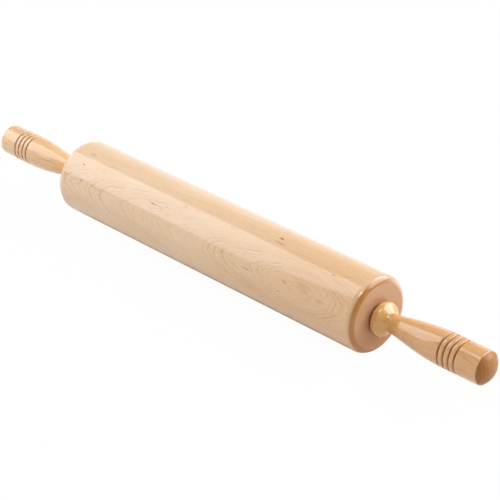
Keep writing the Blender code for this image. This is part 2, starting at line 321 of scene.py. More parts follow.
def maple_rings_group():
    """Growth rings about a pith that lies beside the piece and leans along it, so that they show as long
    straight lines on its sides and as nested points on its front. The lean turns back at one place."""
    values = {
        "Pith": (0.0, 0.04, 0.0),
        "Lean": (0.0, 0.06, 0.0),
        "Turns Back At": 1.0,
        "Ring Width": 0.001,
        "Wander": 0.001,
        "Seed": 0.0,
    }
    tree, given = shader_group("maple growth rings", values, ["Line", "Tone"])
    place = about_axis(tree, given["Position"])
    seeded = vector_calc(tree, "ADD", given["Position"], given["Seed"])
    gap = calc(tree, "SUBTRACT", place["Along"], given["Turns Back At"])
    softened = calc(tree, "SQRT", calc(tree, "MULTIPLY_ADD", gap, gap, TURN_SOFTNESS))
    scaled = {"Vector": given["Lean"], "Scale": times(tree, softened, -1.0)}
    leaned = result(tree, "ShaderNodeVectorMath", scaled, operation="SCALE")
    pith = vector_calc(tree, "ADD", given["Pith"], leaned)
    outward_of_pith = vector_calc(tree, "SUBTRACT", place["Across"], pith)
    from_pith = vector_calc(tree, "LENGTH", outward_of_pith)
    slow = calc(tree, "SUBTRACT", noise(tree, seeded, "slow drift"), 0.5)
    quick = calc(tree, "SUBTRACT", noise(tree, seeded, "quick drift"), 0.5)
    both = calc(tree, "MULTIPLY_ADD", quick, QUICK_SHARE, slow)
    drift = times(tree, both, given["Wander"])
    count = calc(tree, "DIVIDE", calc(tree, "ADD", from_pith, drift), given["Ring Width"])
    uneven = calc(tree, "MULTIPLY_ADD", noise_along(tree, count, BEAT_SCALE, 1.0), BEAT_SHARE, count)
    part = calc(tree, "FRACT", uneven)
    whole = calc(tree, "ADD", calc(tree, "FLOOR", uneven), given["Seed"])
    dice = add(tree, "ShaderNodeTexWhiteNoise", {"W": whole}, noise_dimensions="1D")
    strength = dice.outputs["Value"]
    late_wood = calc(tree, "POWER", part, LINE_SHARPNESS)
    fall = ease(tree, part, LINE_END, 1.0, 1.0, 0.0)
    patchy = ease(tree, noise(tree, seeded, "ring patches"), *PATCH_LEVELS, PALEST_PATCH, 1.0)
    line = times(tree, times(tree, late_wood, fall), patchy)
    weakened = calc(tree, "MULTIPLY_ADD", strength, 1.0 - WEAKEST_LINE, WEAKEST_LINE)
    line = times(tree, line, weakened)
    tone = calc(tree, "MULTIPLY_ADD", strength, 0.5, times(tree, part, 0.5))
    add(tree, "NodeGroupOutput", {"Line": line, "Tone": tone})
    return tree


def maple_fibre_group():
    """What lies within the rings: fine streaks, short pores and flecks along the grain, and broad clouds."""
    outputs = ["Streak", "Pore", "Fleck", "Cloud"]
    tree, given = shader_group("maple fibre", {"Seed": 0.0}, outputs)
    seeded = vector_calc(tree, "ADD", given["Position"], given["Seed"])
    streak = noise(tree, seeded, "fibre streaks")
    pore = ease(tree, noise(tree, seeded, "pores"), *PORE_LEVELS)
    fleck = ease(tree, noise(tree, seeded, "flecks"), *FLECK_LEVELS)
    cloud = noise(tree, seeded, "clouds")
    add(tree, "NodeGroupOutput", {"Streak": streak, "Pore": pore, "Fleck": fleck, "Cloud": cloud})
    return tree


def mineral_streak_group():
    """One short dark streak in the wood, tapered along the grain, on one side of the piece."""
    values = {
        "Along": 0.0,
        "Outward": (0.0, -1.0, 0.0),
        "Crosswise": (0.0, 0.0, 1.0),
        "Half Length": 0.004,
        "Half Width": 0.0006,
        "Slant": 0.0,
        "Strength": 1.0,
    }
    tree, given = shader_group("mineral streak", values, ["Mask"])
    place = about_axis(tree, given["Position"])
    along = calc(tree, "SUBTRACT", place["Along"], given["Along"])
    long_share = calc(tree, "DIVIDE", along, given["Half Length"])
    sideways = vector_calc(tree, "DOT_PRODUCT", place["Across"], given["Crosswise"])
    sideways = calc(tree, "SUBTRACT", sideways, times(tree, along, given["Slant"]))
    ragged = calc(tree, "SUBTRACT", noise(tree, given["Position"], "ragged edge"), 0.5)
    sideways = calc(tree, "MULTIPLY_ADD", ragged, RAGGEDNESS, sideways)
    wide_share = calc(tree, "DIVIDE", sideways, given["Half Width"])
    lengthwise = calc(tree, "POWER", calc(tree, "ABSOLUTE", long_share), TAPER_POWER)
    spread = calc(tree, "ADD", lengthwise, times(tree, wide_share, wide_share))
    outwards = vector_calc(tree, "DOT_PRODUCT", place["Across"], given["Outward"])
    near = calc(tree, "GREATER_THAN", outwards, 0.0)
    mask = times(tree, ease(tree, spread, *TAPER_LEVELS, 1.0, 0.0), near)
    add(tree, "NodeGroupOutput", {"Mask": times(tree, mask, given["Strength"])})
    return tree


def tool_marks_group():
    """The faint rings that a cutter or a grinding wheel leaves round a turned piece, as a height."""
    tree, given = shader_group("tool marks", {"Pitch": 0.0002, "Seed": 0.0}, ["Height", "Patch"])
    place = about_axis(tree, given["Position"])
    march = calc(tree, "DIVIDE", calc(tree, "ADD", place["Along"], place["Radius"]), given["Pitch"])
    march = calc(tree, "ADD", march, given["Seed"])
    patch = noise(tree, given["Position"], "metal patches")
    add(tree, "NodeGroupOutput", {"Height": noise_along(tree, march, 1.0, 3.0), "Patch": patch})
    return tree


MAPLE_RINGS = maple_rings_group()
MAPLE_FIBRE = maple_fibre_group()
MINERAL_STREAK = mineral_streak_group()
TOOL_MARKS = tool_marks_group()


# Finishes

def new_finish(name, **constants):
    """A material with its Principled shader's constant values set. Returns it with its tree and shader."""
    material = bpy.data.materials.new(name)
    material.use_nodes = True
    tree = material.node_tree
    shader = tree.nodes["Principled BSDF"]
    for key, value in constants.items():
        shader.inputs[key.replace("_", " ")].default_value = value
    return material, tree, shader


def object_place(tree):
    return add(tree, "ShaderNodeTexCoord").outputs["Object"]


def surfaced(tree, shader, colour, roughness, height, strength, depth):
    """Gives a shader its colour, its roughness and a bump, which is as deep as a height of 1."""
    bump = result(tree, "ShaderNodeBump", {"Height": height, "Strength": strength, "Distance": depth})
    fill(tree, shader, {"Base Color": colour, "Roughness": roughness, "Normal": bump})


def outward(degrees):
    """The direction out from the axis at an angle up from the front."""
    angle = math.radians(degrees)
    return Vector((0, -math.cos(angle), math.sin(angle)))


def crosswise(degrees):
    """The direction round the piece at an angle up from the front."""
    angle = math.radians(degrees)
    return Vector((0, math.sin(angle), math.cos(angle)))


# The streaks fade out towards their ends, so each is drawn this much longer and wider than it looks
FADED_LENGTH = 1.25
FADED_WIDTH = 1.1


def streaks(tree, place, marks):
    """The strongest of several mineral streaks, each with the values that BARREL_STREAKS lists."""
    strongest = None
    for along, degrees, half_length, half_width, slant, strength in marks:
        inputs = {
            "Position": place,
            "Along": along / 1000,
            "Outward": outward(degrees),
            "Crosswise": crosswise(degrees),
            "Half Length": half_length * FADED_LENGTH / 1000,
            "Half Width": half_width * FADED_WIDTH / 1000,
            "Slant": slant,
            "Strength": strength,
        }
        mask = use(tree, MINERAL_STREAK, inputs)["Mask"]
        strongest = mask if strongest is None else calc(tree, "MAXIMUM", strongest, mask)
    return strongest


PORE_SHARE = 0.3
FLECK_SHARE = 0.22
WOOD_BUMP_DEPTH = 0.0002
LINE_RELIEF = -0.4
STREAK_DULLNESS = 0.15


def wood_colour(tree, place, tones, rings, seed):
    """The colour of clear maple: a pale ground, honey clouds, ring lines, streaks, pores and flecks."""
    figure = use(tree, MAPLE_RINGS, {"Position": place, "Seed": seed, **rings})
    fibre = use(tree, MAPLE_FIBRE, {"Position": place, "Seed": seed})
    cloud = ease(tree, fibre["Cloud"], *CLOUD_LEVELS)
    colour = blend(tree, cloud, tones["pale"], tones["honey"])
    streak = ease(tree, fibre["Streak"], *STREAK_LEVELS)
    layers = (
        (figure["Tone"], "ring share", "late"),
        (figure["Line"], "line share", "line"),
        (streak, "streak share", "late"),
    )
    for mask, share, tone in layers:
        colour = blend(tree, times(tree, mask, tones[share]), colour, tones[tone])
    pores = times(tree, fibre["Pore"], PORE_SHARE)
    fine = calc(tree, "MAXIMUM", pores, times(tree, fibre["Fleck"], FLECK_SHARE))
    return blend(tree, fine, colour, tones["line"]), figure, fibre


def tinted(tree, share, colour, tint):
    """A colour multiplied by a tint, as far as a share from 0 to 1 says."""
    return blend(tree, share, colour, blend(tree, 1.0, colour, tint, "MULTIPLY"))


def lacquered(tree, shader, colour, figure, fibre, coat, tones):
    """Gives a wood its colour, its coat and the faint relief of its ring lines, streaks and pores."""
    roughness = calc(tree, "MULTIPLY_ADD", fibre["Streak"], STREAK_DULLNESS, tones["roughness"])
    height = times(tree, fibre["Streak"], tones["streak relief"])
    height = calc(tree, "MULTIPLY_ADD", figure["Line"], LINE_RELIEF, height)
    height = calc(tree, "SUBTRACT", height, times(tree, fibre["Pore"], tones["pore relief"]))
    surfaced(tree, shader, colour, roughness, height, tones["bump"], WOOD_BUMP_DEPTH)
    fill(tree, shader, {"Coat Weight": coat})


BARREL_TONES = {
    "pale": (0.905, 0.655, 0.44, 1),
    "honey": (0.885, 0.62, 0.39, 1),
    "late": (0.76, 0.49, 0.27, 1),
    "line": (0.44, 0.22, 0.07, 1),
    "ring share": 0.16,
    "line share": 0.8,
    "streak share": 0.16,
    "roughness": 0.42,
    "streak relief": 0.6,
    "pore relief": 0.5,
    "bump": 0.05,
}
DARK_STREAK_TONE = (0.25, 0.08, 0.03, 1)
RED_STREAK_TONE = (0.62, 0.27, 0.12, 1)
# The shoulder's darker tone at the front, and its paler tone at the back, which is painted light
SHOULDER_TONE = (0.50, 0.21, 0.045, 1)
SHOULDER_PAINTED_LIGHT_TONE = (0.78, 0.53, 0.34, 1)
END_GRAIN_TONE = (0.65, 0.36, 0.19, 1)
END_GRAIN_LINE = (0.48, 0.225, 0.095, 1)
END_GRAIN_RAY = (0.71, 0.43, 0.26, 1)
END_GRAIN_LINE_SHARE = 0.35
END_GRAIN_RAY_SHARE = 0.25
# Painted shade for the lower part of the end grain
END_GRAIN_PAINTED_SHADE_TINT = (0.86, 0.76, 0.62, 1)
RIGHTWARD_TINT = (0.94, 0.84, 0.72, 1)
RIGHTWARD_FROM = -0.04
BARREL_FIGURE_DEGREES = 20
BARREL_PITH_DEPTH = 0.045
BARREL_LEAN = 0.058
BARREL_LEAN_TURNS = 0.131
BARREL_SEED = 3.0

# Where the shoulder's darker tone starts and is full, inwards from the barrel's side, how it pales towards
# the back, which is painted light, how the end grain darkens towards the bottom, which is painted shade,
# and how much less lacquer the end grain has
SHOULDER_BAND_FROM_SIDE = (0.0019, 0.0004)
SHOULDER_PAINTED_LIGHT_SPAN = (0.004, 0.026)
END_GRAIN_PAINTED_SHADE_SPAN = (-0.03, 0.012)
BARE_MARGIN = 0.00004
BARE_LOSS = 0.4

# The barrel's dark mineral streaks: mm along, degrees up from the front, half length and half width in mm,
# slant and strength
BARREL_STREAKS = [
    (-163.8, 50.3, 2.6, 0.7, -0.1, 0.75),
    (-185.3, 40.7, 1.6, 0.5, 0.0, 0.7),
    (-182.1, 25.8, 2.2, 0.5, -0.1, 0.6),
    (-157.6, 26.2, 2.6, 0.6, -0.15, 0.6),
    (-62.1, 42.3, 4.2, 0.55, -0.05, 0.85),
    (-54.0, 42.0, 9.0, 0.45, -0.03, 0.3),
    (34.4, 61.0, 5.0, 0.4, -0.05, 0.45),
    (66.8, 15.8, 4.6, 0.5, -0.08, 0.6),
    (82.8, 80.3, 2.8, 0.9, -0.06, 1.0),
    (154.0, 61.6, 3.0, 0.6, -0.05, 0.5),
    (107.1, 6.3, 2.4, 0.5, 0.0, 0.5),
    (95.1, 42.0, 3.4, 0.4, 0.0, 0.35),
]
BARREL_RED_STREAKS = [
    (85.6, 71.4, 7.0, 0.7, -0.05, 0.9),
    (-163.4, 72.8, 5.0, 1.0, -0.05, 0.45),
    (-26.5, 59.5, 2.0, 1.1, 0.0, 0.5),
    (-44.6, 45.6, 4.0, 0.8, 0.0, 0.3),
    (-138.8, 24.6, 5.0, 0.9, -0.2, 0.35),
    (111.1, 23.3, 4.0, 1.6, -0.1, 0.35),
    (131.5, 29.6, 8.0, 2.2, -0.1, 0.25),
    (153.2, 19.6, 5.0, 2.0, 0.0, 0.25),
]


def barrel_finish():
    """Lacquered maple, paler towards the left end, with duller end grain inside the shoulders."""
    material, tree, shader = new_finish(
        "lacquered maple barrel", Coat_Roughness=0.1, Coat_IOR=1.5, Specular_IOR_Level=0.25)
    place = object_place(tree)
    about = about_axis(tree, place)
    rings = {
        "Pith": -BARREL_PITH_DEPTH * outward(BARREL_FIGURE_DEGREES),
        "Lean": -BARREL_LEAN * outward(BARREL_FIGURE_DEGREES),
        "Turns Back At": BARREL_LEAN_TURNS,
        "Ring Width": 0.0005,
        "Wander": 0.0016,
    }
    colour, figure, fibre = wood_colour(tree, place, BARREL_TONES, rings, BARREL_SEED)
    colour = blend(tree, streaks(tree, place, BARREL_RED_STREAKS), colour, RED_STREAK_TONE)
    colour = blend(tree, streaks(tree, place, BARREL_STREAKS), colour, DARK_STREAK_TONE)
    rightward = ease(tree, about["Along"], RIGHTWARD_FROM, BARREL_END)
    colour = tinted(tree, rightward, colour, RIGHTWARD_TINT)
    shoulder_band_from, shoulder_band_to = (BARREL_RADIUS - depth for depth in SHOULDER_BAND_FROM_SIDE)
    shoulder_band = ease(tree, about["Radius"], shoulder_band_from, shoulder_band_to, 1.0, 0.0)
    across = add(tree, "ShaderNodeSeparateXYZ", {0: about["Across"]}).outputs
    # The shoulder band is darker at the front and paler towards the back; the paler back is painted light
    shoulder = blend(tree, ease(tree, across["Y"], *SHOULDER_PAINTED_LIGHT_SPAN), SHOULDER_TONE, SHOULDER_PAINTED_LIGHT_TONE)
    colour = blend(tree, shoulder_band, colour, shoulder)
    bare = calc(tree, "LESS_THAN", about["Radius"], BARREL_RADIUS - SHOULDER_DEPTH - BARE_MARGIN)
    ray = noise(tree, place, "end grain rays")
    lines = times(tree, figure["Line"], END_GRAIN_LINE_SHARE)
    end_grain = blend(tree, lines, END_GRAIN_TONE, END_GRAIN_LINE)
    end_grain = blend(tree, times(tree, ray, END_GRAIN_RAY_SHARE), end_grain, END_GRAIN_RAY)
    # Painted shade: the end grain darkens towards the bottom, where the handle shades it
    painted_shade_share = ease(tree, across["Z"], *END_GRAIN_PAINTED_SHADE_SPAN, 1.0, 0.0)
    end_grain = tinted(tree, painted_shade_share, end_grain, END_GRAIN_PAINTED_SHADE_TINT)
    colour = blend(tree, bare, colour, end_grain)
    lacquer = calc(tree, "MULTIPLY_ADD", bare, -BARE_LOSS, 1.0)
    lacquered(tree, shader, colour, figure, fibre, lacquer, BARREL_TONES)
    return material


HANDLE_SURFACE = {
    "ring share": 0.2,
    "line share": 0.5,
    "roughness": 0.38,
    "streak relief": 0.5,
    "pore relief": 0.0,
    "bump": 0.04,
}
HANDLE_TONES = {
    "right": {
        "pale": (0.79, 0.445, 0.197, 1),
        "honey": (0.76, 0.40, 0.158, 1),
        "late": (0.64, 0.32, 0.11, 1),
        "line": (0.30, 0.12, 0.04, 1),
        "streak share": 0.25,
    },
    "left": {
        "pale": (0.90, 0.595, 0.34, 1),
        "honey": (0.87, 0.53, 0.262, 1),
        "late": (0.74, 0.42, 0.18, 1),
        "line": (0.42, 0.21, 0.08, 1),
        "streak share": 0.22,
    },
}
HANDLE_STREAKS = {
    "right": [
        (231.0, 16.0, 3.4, 0.4, -0.35, 0.55),
        (295.0, 34.0, 12.0, 0.35, -0.2, 0.5),
        (297.0, -3.0, 11.0, 0.3, 0.1, 0.45),
        (243.0, 3.0, 9.0, 0.3, -0.1, 0.3),
    ],
    "left": [
        (-252.0, 30.0, 14.0, 0.4, 0.05, 0.35),
        (-234.0, 18.0, 12.0, 0.5, 0.05, 0.35),
        (-296.0, 10.0, 5.0, 0.3, 0.0, 0.35),
    ],
}
HANDLE_PITHS = {"right": (0.0, 0.075, 0.01), "left": (0.0, 0.04, -0.055)}
HANDLE_LEANS = {"right": (0.0, -0.03, 0.012), "left": (0.0, 0.035, 0.01)}
HANDLE_SEED = 11.0
HANDLE_STREAK_TONE = (0.24, 0.10, 0.03, 1)
# The grooves' brown: partly burn, partly painted shade in the hollows
GROOVE_BURN_AND_SHADE_TONE = (0.34, 0.15, 0.045, 1)
DOME_TINT = (0.68, 0.60, 0.46, 1)
# Painted shade for the dome's front
DOME_PAINTED_SHADE_TINT = (0.54, 0.38, 0.21, 1)
DOME_COAT_LOSS = 0.8
DOME_STRIPE_TINT = (0.72, 0.62, 0.50, 1)
COLLAR_TINT = (1.03, 0.94, 0.64, 1)
# Painted light for the collar's top
COLLAR_PAINTED_LIGHT_TINT = (1.16, 1.24, 1.45, 1)

# How deep into a groove its brown, which is partly burn and partly painted shade, and its thinner lacquer
# set in and are full, and how far they go. Then where the painted shade darkens the dome towards the front,
# the painted light pales the collar towards its top and the collar's tint fades along the neck. The lean of
# the rings turns back past the other end
GROOVE_BURN_AND_SHADE_DEPTHS = (0.1, 0.85)
GROOVE_DULLS = (0.03, 0.45)
GROOVE_BURN_AND_SHADE_SHARE = 0.9
GROOVE_COAT = 0.12
DOME_EDGE_BLEND = 0.0004
DOME_PAINTED_SHADE_SPAN = (-0.013, 0.003)
DOME_STRIPE_LEVELS = (0.48, 0.62)
DOME_STRIPE_SHARE = 0.5
COLLAR_PAINTED_LIGHT_SPAN = (0.002, 0.013)
COLLAR_TINT_FADES = (NECK_FROM_BACK * 0.5, GRIP_FROM_BACK * 0.7)
TURNS_BACK_FAR = 1.0


def handle_finish(end, way):
    """Glossy lacquered maple, browner in the grooves (partly painted shade) and on the domed end."""
    material, tree, shader = new_finish(
        "lacquered maple handle " + end, Coat_Roughness=0.06, Coat_IOR=1.6, Specular_IOR_Level=0.25)
    place = object_place(tree)
    about = about_axis(tree, place)
    rings = {
        "Pith": HANDLE_PITHS[end],
        "Lean": HANDLE_LEANS[end],
        "Turns Back At": -way * TURNS_BACK_FAR,
        "Ring Width": 0.0013,
        "Wander": 0.0016,
    }
    tones = {**HANDLE_SURFACE, **HANDLE_TONES[end]}
    colour, figure, fibre = wood_colour(tree, place, tones, rings, HANDLE_SEED + way)
    colour = blend(tree, streaks(tree, place, HANDLE_STREAKS[end]), colour, HANDLE_STREAK_TONE)
    cut = add(tree, "ShaderNodeAttribute", attribute_name="groove").outputs["Fac"]
    # Grooves browner towards their floors: partly burn, partly painted shade
    colour = blend(tree, ease(tree, cut, *GROOVE_BURN_AND_SHADE_DEPTHS, 0.0, GROOVE_BURN_AND_SHADE_SHARE), colour, GROOVE_BURN_AND_SHADE_TONE)
    out = times(tree, about["Along"], way)
    past_edge = calc(tree, "SUBTRACT", out, HANDLE_BACK + HANDLE_TO_EDGE)
    dome = ease(tree, past_edge, 0.0, DOME_EDGE_BLEND)
    across = add(tree, "ShaderNodeSeparateXYZ", {0: about["Across"]}).outputs
    # Painted shade: the dome darkens towards the front, which the back light misses
    dome_tint_and_shade = blend(tree, ease(tree, across["Y"], *DOME_PAINTED_SHADE_SPAN), DOME_PAINTED_SHADE_TINT, DOME_TINT)
    stripe = ease(tree, noise(tree, place, "dome stripes"), *DOME_STRIPE_LEVELS, 0.0, DOME_STRIPE_SHARE)
    dome_tint_and_shade = tinted(tree, stripe, dome_tint_and_shade, DOME_STRIPE_TINT)
    colour = tinted(tree, dome, colour, dome_tint_and_shade)
    from_back = calc(tree, "ADD", past_edge, HANDLE_TO_EDGE)
    near_neck = ease(tree, from_back, *COLLAR_TINT_FADES, 1.0, 0.0)
    colour = tinted(tree, near_neck, colour, COLLAR_TINT)
    # Painted light: the collar and neck pale towards their top, as if lit from above
    painted_light_share = times(tree, ease(tree, across["Z"], *COLLAR_PAINTED_LIGHT_SPAN), near_neck)
    colour = tinted(tree, painted_light_share, colour, COLLAR_PAINTED_LIGHT_TINT)
    lacquer = ease(tree, cut, *GROOVE_DULLS, 1.0, GROOVE_COAT)
    lacquer = times(tree, lacquer, calc(tree, "MULTIPLY_ADD", dome, -DOME_COAT_LOSS, 1.0))
    lacquered(tree, shader, colour, figure, fibre, lacquer, tones)
    return material


# The metals: colour, least roughness, how much duller their patches are, how far apart their tool marks are,
# how strongly these show, and a seed
METALS = {
    "ground bearing steel": ((0.70, 0.70, 0.71), 0.10, 0.12, 0.00012, 0.12, 1.0),
    "polished ball steel": ((0.78, 0.78, 0.79), 0.04, 0.05, 0.0004, 0.02, 2.0),
    "machined cage brass": ((0.74, 0.54, 0.26), 0.24, 0.18, 0.00016, 0.25, 3.0),
    "turned sleeve steel": ((0.62, 0.62, 0.63), 0.28, 0.18, 0.0002, 0.3, 4.0),
}
METAL_PATCH_SHADE = 0.78
METAL_MARK_SHARE = 0.2
METAL_BUMP_DEPTH = 0.00005
ROD_TONE = (0.64, 0.63, 0.62, 1)
ROD_PATCH_TONE = (0.50, 0.48, 0.46, 1)
ROD_SCRATCH_TONE = (0.42, 0.41, 0.40, 1)
ROD_SCRATCH_SHARE = 0.3
ROD_ROUGHNESS = 0.2
ROD_BUMP = 0.25


def metal_finish(name, colour, roughness, spread, pitch, strength, seed):
    """A turned or ground metal: rings of tool marks, and patches that are a little duller."""
    material, tree, shader = new_finish(name, Metallic=1.0)
    place = object_place(tree)
    marks = use(tree, TOOL_MARKS, {"Position": place, "Pitch": pitch, "Seed": seed})
    darker = tuple(channel * METAL_PATCH_SHADE for channel in colour)
    tint = blend(tree, ease(tree, marks["Patch"], *DULL_LEVELS), (*colour, 1), (*darker, 1))
    tint = blend(tree, times(tree, marks["Height"], METAL_MARK_SHARE), tint, (*darker, 1))
    dull = calc(tree, "MULTIPLY_ADD", marks["Patch"], spread, roughness)
    surfaced(tree, shader, tint, dull, marks["Height"], strength, METAL_BUMP_DEPTH)
    return material


def rod_finish():
    """Drawn bright bar, with faint scratches along it."""
    material, tree, shader = new_finish("drawn bright steel rod", Metallic=1.0)
    place = object_place(tree)
    scratch = noise(tree, place, "rod scratches")
    patch = noise(tree, place, "rod patches")
    tint = blend(tree, ease(tree, patch, *DULL_LEVELS), ROD_TONE, ROD_PATCH_TONE)
    tint = blend(tree, times(tree, scratch, ROD_SCRATCH_SHARE), tint, ROD_SCRATCH_TONE)
    dull = calc(tree, "MULTIPLY_ADD", scratch, ROD_ROUGHNESS, ROD_ROUGHNESS)
    surfaced(tree, shader, tint, dull, scratch, ROD_BUMP, METAL_BUMP_DEPTH)
    return material


# Outlines

def arc(centre, size, start, end, steps):
    """Points of an elliptic arc: 0 degrees is its outermost point, and 90 degrees its furthest along +X."""
    points = []
    for step in range(steps + 1):
        angle = math.radians(start + (end - start) * step / steps)
        points.append((centre[0] + size[0] * math.sin(angle), centre[1] + size[1] * math.cos(angle)))
    return points


def mirrored(outline):
    """An outline turned about to the other end."""
    return [(-point[0], *point[1:]) for point in reversed(outline)]


def placed(outline, start, way):
    """An outline moved outwards along the axis, and turned about for the left end."""
    out = [(point[0] + start, *point[1:]) for point in outline]
    return out if way > 0 else mirrored(out)


def barrel_outline():
    """A cylinder with rounded shoulders that meet the flat ends in a crease, bored through and pocketed."""
    shoulder_radius = (SHOULDER_LENGTH ** 2 + SHOULDER_DEPTH ** 2) / (2 * SHOULDER_DEPTH)
    sweep = math.degrees(math.asin(SHOULDER_LENGTH / shoulder_radius))
    centre = (BARREL_END - SHOULDER_LENGTH, BARREL_RADIUS - shoulder_radius)
    half = [(BARREL_END * share, BARREL_RADIUS) for share in BARREL_STATIONS]
    half += arc(centre, (shoulder_radius, shoulder_radius), 0, sweep, SHOULDER_STEPS)
    face = BARREL_RADIUS - SHOULDER_DEPTH
    half += [(BARREL_END, face * share) for share in FACE_STATIONS]
    half.append((BARREL_END, POCKET_RADIUS + POCKET_CHAMFER))
    half.append((BARREL_END - POCKET_CHAMFER, POCKET_RADIUS))
    half += [(POCKET_FLOOR, POCKET_RADIUS), (POCKET_FLOOR, BORE_RADIUS)]
    half += [(POCKET_FLOOR * share, BORE_RADIUS) for share in BORE_STATIONS]
    outer = [point for point in half if point[1] >= face]
    inner = [point for point in half if point[1] < face]
    return mirrored(outer)[:-1] + outer + inner + mirrored(inner)


def grip_radius(from_back):
    """The grip's radius: an eased quarter sine from the neck to the swell, then an easy taper to the end."""
    if from_back <= GRIP_FROM_BACK:
        along = (from_back - NECK_FROM_BACK) / (GRIP_FROM_BACK - NECK_FROM_BACK)
        eased = (along - NECK_EASE * (1 - math.exp(-along / NECK_EASE))) / (1 - NECK_EASE)
        return NECK_RADIUS + (GRIP_RADIUS - NECK_RADIUS) * math.sin(math.pi / 2 * eased)
    along = (from_back - GRIP_FROM_BACK) / (HANDLE_TO_EDGE - GRIP_FROM_BACK)
    return GRIP_RADIUS - (GRIP_RADIUS - END_RADIUS) * along * along * (3 - 2 * along)


def collar_radius(share):
    """The collar's radius from its widest circle, at 0, over the bead and down the cove to the neck, at 1."""
    fallen = share ** 3 * (10 - 15 * share + 6 * share * share)
    return COLLAR_RADIUS - (COLLAR_RADIUS - NECK_RADIUS) * fallen


def collar_outline():
    """From the collar's flat back, over its rounded bead and down the cove as far as the neck."""
    centre = (COLLAR_FROM_BACK, COLLAR_RADIUS - COLLAR_BACK_ROUND)
    outline = [(0.0, HOLE_RADIUS + HOLE_CHAMFER)]
    outline += arc(centre, (COLLAR_FROM_BACK, COLLAR_BACK_ROUND), -90, 0, ROUND_STEPS)
    for step in range(1, COLLAR_STEPS):
        share = step / COLLAR_STEPS
        outline.append((COLLAR_FROM_BACK + (NECK_FROM_BACK - COLLAR_FROM_BACK) * share, collar_radius(share)))
    return outline


FIRST_GROOVE = HANDLE_TO_EDGE - LAST_GROOVE_TO_EDGE - GROOVE_PITCH * (GROOVE_COUNT - 1)
LAST_GROOVE = HANDLE_TO_EDGE - LAST_GROOVE_TO_EDGE


def groove_share(from_back):
    """How deep the grooves are at a place, from 0 on a land to 1 at a groove's floor."""
    number = round((from_back - FIRST_GROOVE) / GROOVE_PITCH)
    number = max(0, min(GROOVE_COUNT - 1, number))
    away = abs(from_back - FIRST_GROOVE - number * GROOVE_PITCH) / (GROOVE_WIDTH / 2)
    return math.cos(math.pi / 2 * away) ** GROOVE_SHARPNESS if away < 1 else 0.0


def land_drop(from_back):
    """How far a land's crown has fallen at a place, towards the grooves beside it."""
    if from_back < FIRST_GROOVE or from_back > LAST_GROOVE:
        return 0.0
    phase = (from_back - FIRST_GROOVE) / GROOVE_PITCH % 1.0
    return LAND_CROWN * (2 * phase - 1) ** 2


def grip_outline():
    """From the neck over the swell and the grooves to the crisp edge of the end."""
    places = []
    x = NECK_FROM_BACK
    while x < HANDLE_TO_EDGE - EDGE_ROUND - GRIP_STEP / 2:
        places.append(x)
        near_groove = FIRST_GROOVE - GROOVE_WIDTH <= x <= LAST_GROOVE + GROOVE_WIDTH
        x += GROOVE_WIDTH / GROOVE_STEPS if near_groove else GRIP_STEP * 2
    outline = []
    for x in places:
        cut = groove_share(x)
        outline.append((x, grip_radius(x) - GROOVE_DEPTH * cut - land_drop(x), cut))
    return outline


def dome_outline():
    """The eased edge and the shallow dome, which is part of a sphere, to its middle."""
    rim = END_RADIUS - EDGE_ROUND
    sphere = (rim * rim + DOME_HEIGHT * DOME_HEIGHT) / (2 * DOME_HEIGHT)
    outline = arc((HANDLE_TO_EDGE - EDGE_ROUND, rim), (EDGE_ROUND, EDGE_ROUND), 0, EDGE_SWEEP, EDGE_STEPS)
    for step in range(1, DOME_STEPS + 1):
        radius = rim * (1 - step / DOME_STEPS)
        rise = math.sqrt(sphere * sphere - radius * radius) - (sphere - DOME_HEIGHT)
        outline.append((HANDLE_TO_EDGE + rise, radius))
    return outline


def handle_outline():
    """The whole handle, from the middle of the floor of its hole to the middle of its dome."""
    outline = [(HOLE_DEPTH, 0.0), (HOLE_DEPTH, HOLE_RADIUS), (HOLE_DEPTH / 2, HOLE_RADIUS)]
    outline.append((HOLE_CHAMFER, HOLE_RADIUS))
    return outline + collar_outline() + grip_outline() + dome_outline()


def rod_outline():
    """Round bar from end to end, with rounded glue grooves in each end."""
    half = [(0.0, ROD_RADIUS), (BARREL_END / 2, ROD_RADIUS)]
    for number in range(GLUE_GROOVE_COUNT):
        centre = HANDLE_BACK + GLUE_GROOVE_PITCH * (number + 1)
        for step in range(GLUE_GROOVE_STEPS + 1):
            share = step / (GLUE_GROOVE_STEPS / 2) - 1
            x = centre + GLUE_GROOVE_WIDTH / 2 * share
            half.append((x, ROD_RADIUS - GLUE_GROOVE_DEPTH * math.cos(math.pi / 2 * share)))
    half += [(ROD_END - ROD_CHAMFER, ROD_RADIUS), (ROD_END, ROD_RADIUS - ROD_CHAMFER), (ROD_END, 0.0)]
    return mirrored(half)[:-1] + half


def chamfered(low, high, inner, outer, chamfer):
    """The outline of a plain ring with chamfered rims, from its inner low corner round."""
    return [
        (low, inner + chamfer),
        (low, outer - chamfer),
        (low + chamfer, outer),
        (high - chamfer, outer),
        (high, outer - chamfer),
        (high, inner + chamfer),
        (high - chamfer, inner),
        (low + chamfer, inner),
    ]


def raceway(shoulder, way):
    """The groove that the balls run in, from one shoulder to the other. Way is 1 where it faces outwards."""
    height = abs(BALL_CIRCLE_RADIUS - shoulder)
    widest = math.degrees(math.acos(height / RACEWAY_ARC_RADIUS))
    size = (RACEWAY_ARC_RADIUS, -way * RACEWAY_ARC_RADIUS)
    return arc((0, BALL_CIRCLE_RADIUS), size, -widest, widest, RACEWAY_STEPS)


def inner_ring_outline():
    rim = INNER_SHOULDER_RADIUS
    outline = chamfered(-BEARING_HALF, BEARING_HALF, INNER_BORE_RADIUS, rim, RING_CHAMFER)
    return outline[:3] + raceway(rim, 1) + outline[3:]


def outer_ring_outline():
    bore = OUTER_SHOULDER_RADIUS
    outline = chamfered(-BEARING_HALF, BEARING_HALF, bore, BEARING_OUTER_RADIUS, RING_CHAMFER)
    return outline[:7] + raceway(bore, -1)[::-1] + outline[7:]


